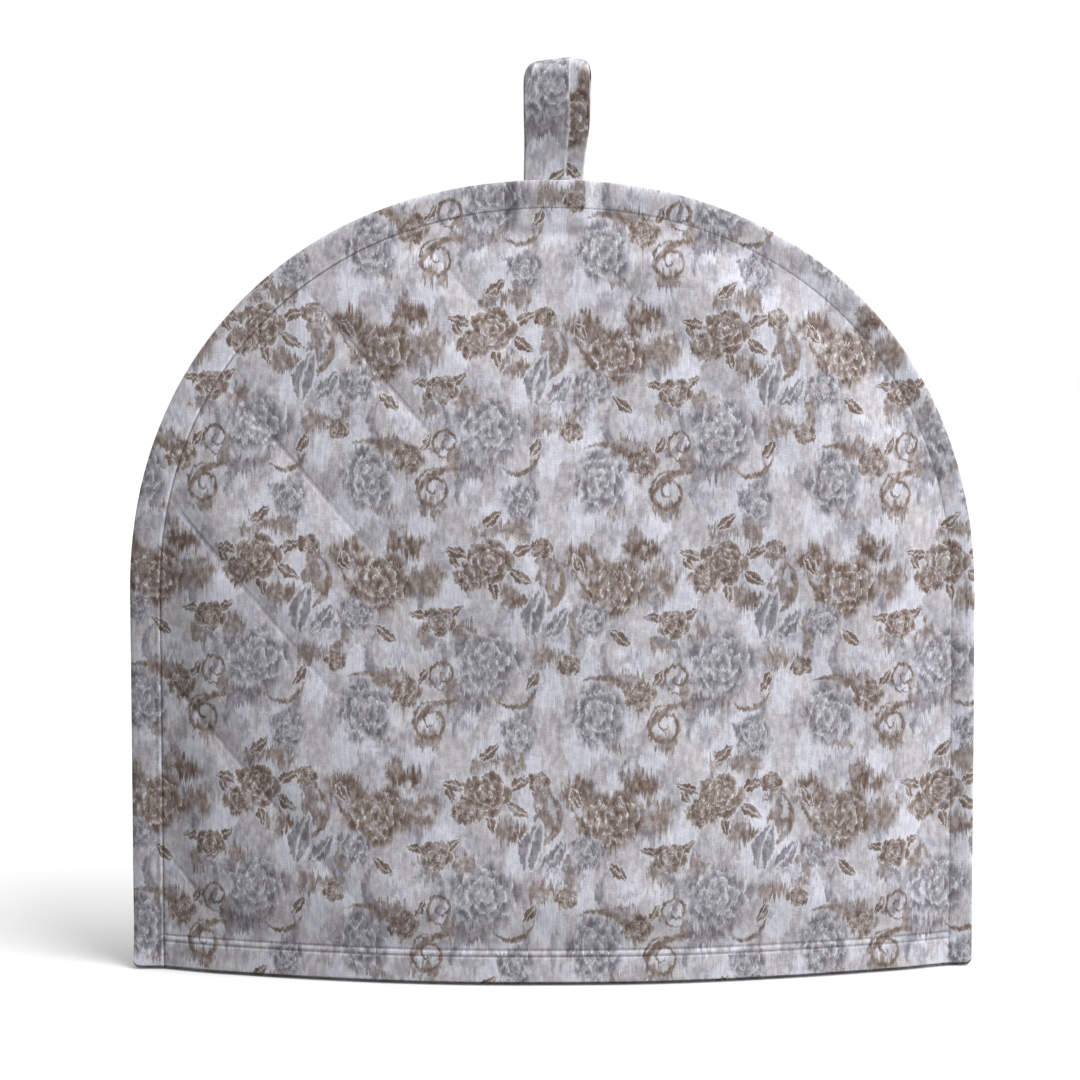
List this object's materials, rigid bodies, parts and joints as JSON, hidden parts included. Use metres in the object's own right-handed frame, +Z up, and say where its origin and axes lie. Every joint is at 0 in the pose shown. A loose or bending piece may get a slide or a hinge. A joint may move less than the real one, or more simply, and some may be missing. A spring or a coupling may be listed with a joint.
{
  "type": "tea cosy",
  "caption": "Quilted fabric tea cosy: two arch-shaped padded panels joined along a flat stitched flange, open at the hem, with a hanging loop at the top.",
  "frame": {"origin": "middle of the hem, on the surface that the hem rests on", "axes": "+Z up to the loop, -Y out of the front panel, X along the hem"},
  "size_m": [0.293, 0.0549, 0.3154],
  "materials": {
    "printed_cotton": "matt printed cotton, pale lavender grey with taupe and lilac flowers in a streaky weave",
    "loop_cotton": "matt printed cotton strip of the same cloth",
    "sewing_thread": "matt grey sewing thread"
  },
  "bodies": {
    "root": {"front_panel": "printed_cotton", "back_panel": "printed_cotton", "hanging_loop": "loop_cotton"}
  },
  "joints": []
}
